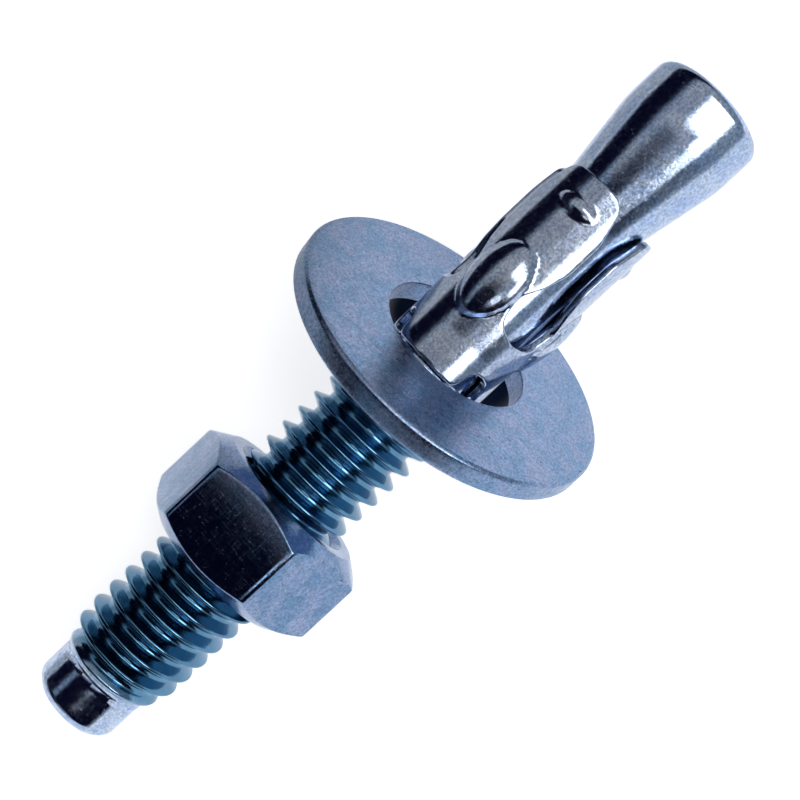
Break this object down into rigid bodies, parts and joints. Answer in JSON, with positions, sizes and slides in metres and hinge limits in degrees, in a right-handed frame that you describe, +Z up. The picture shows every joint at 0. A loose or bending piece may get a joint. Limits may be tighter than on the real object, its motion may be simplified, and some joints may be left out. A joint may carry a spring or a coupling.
{
  "type": "wedge anchor bolt",
  "caption": "Zinc-plated expansion anchor bolt for concrete: threaded stud with a flared cone, slotted expansion clip, loose flat washer and hex nut, lying at rest.",
  "frame": {"origin": "on the ground under the middle of the part as it lies at rest", "axes": "+Z up from the ground, +X along the stud seen from above, from its plain point towards its cone"},
  "size_m": [0.0644, 0.0262, 0.0214],
  "materials": {
    "stud_zinc": "bright blue-white zinc plating",
    "nut_zinc": "satin blue-white zinc plating",
    "washer_zinc": "dull blue-white zinc plating",
    "clip_zinc": "bright blue-white zinc plating"
  },
  "bodies": {
    "stud": {"stud": "stud_zinc"},
    "nut": {"hex_nut": "nut_zinc"},
    "washer": {"washer": "washer_zinc"},
    "clip": {"expansion_clip": "clip_zinc"}
  },
  "joints": [
    {"name": "nut_travel", "type": "slide", "parent": "stud", "child": "nut", "axis": [0.985, 0, 0.1727], "range_m": [-0.0159, 0.0056]},
    {"name": "washer_slide", "type": "slide", "parent": "stud", "child": "washer", "axis": [0.985, 0, 0.1727], "range_m": [-0.0056, 0]},
    {"name": "clip_turn", "type": "hinge", "parent": "stud", "child": "clip", "pos_m": [0.01179, 0, 0.01185], "axis": [0.985, 0, 0.1727], "continuous": true}
  ]
}
